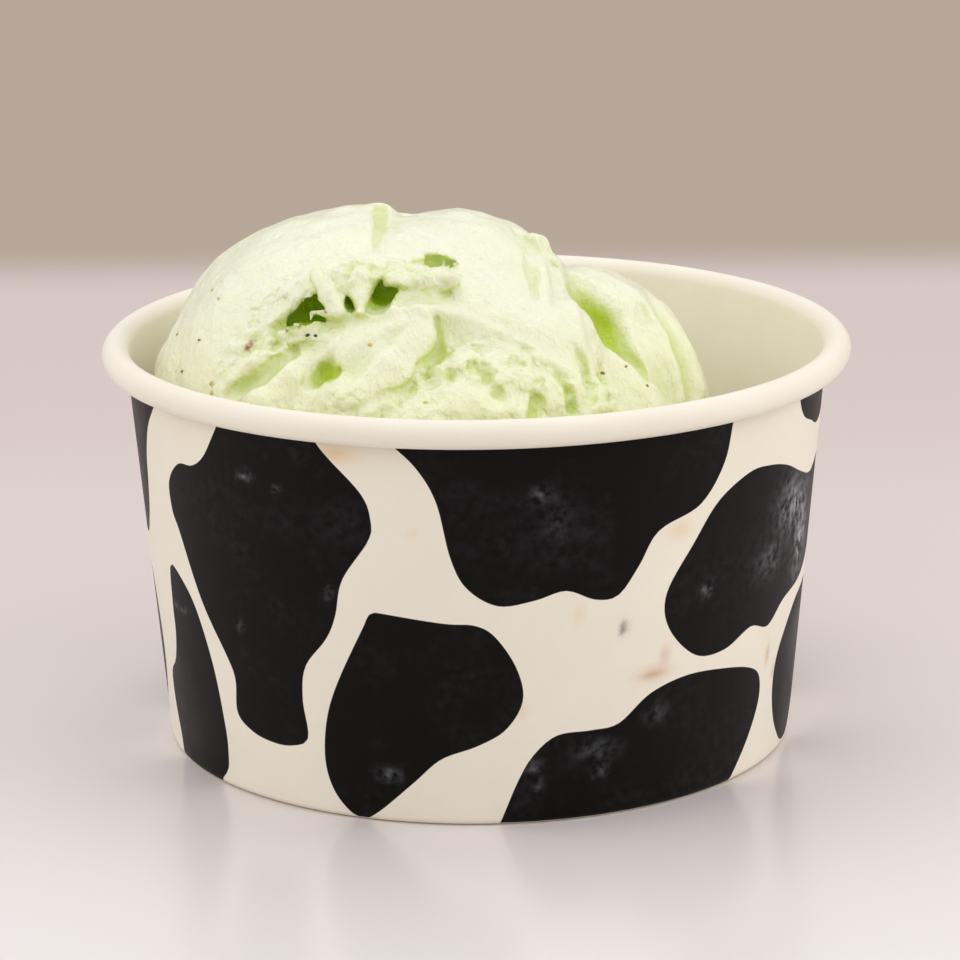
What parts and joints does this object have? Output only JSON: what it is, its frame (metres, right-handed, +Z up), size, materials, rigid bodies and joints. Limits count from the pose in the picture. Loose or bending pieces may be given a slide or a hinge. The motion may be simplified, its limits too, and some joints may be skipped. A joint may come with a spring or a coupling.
{
  "type": "gelato cup",
  "caption": "Round tapered paper cup with a rolled rim, filled with pale green gelato that is folded and mounded above the rim.",
  "frame": {"origin": "centre of the cup's foot, on the surface that it stands on", "axes": "+Z up along the cup's axis, +X to the right of the shown side, where the gelato leaves a gap, -Y towards the shown side"},
  "size_m": [0.09, 0.09, 0.0649],
  "materials": {
    "printed_paperboard": "white paperboard with a thin plastic coating inside and out, printed outside with black cow patches",
    "bottom_paperboard": "plain white paperboard with a thin plastic coating",
    "gelato": "pale green gelato, smooth where the spade pressed it and crumbly where it tore, with a slight wet sheen"
  },
  "bodies": {
    "root": {"cup_wall": "printed_paperboard", "cup_base": "bottom_paperboard", "gelato": "gelato"}
  },
  "joints": []
}
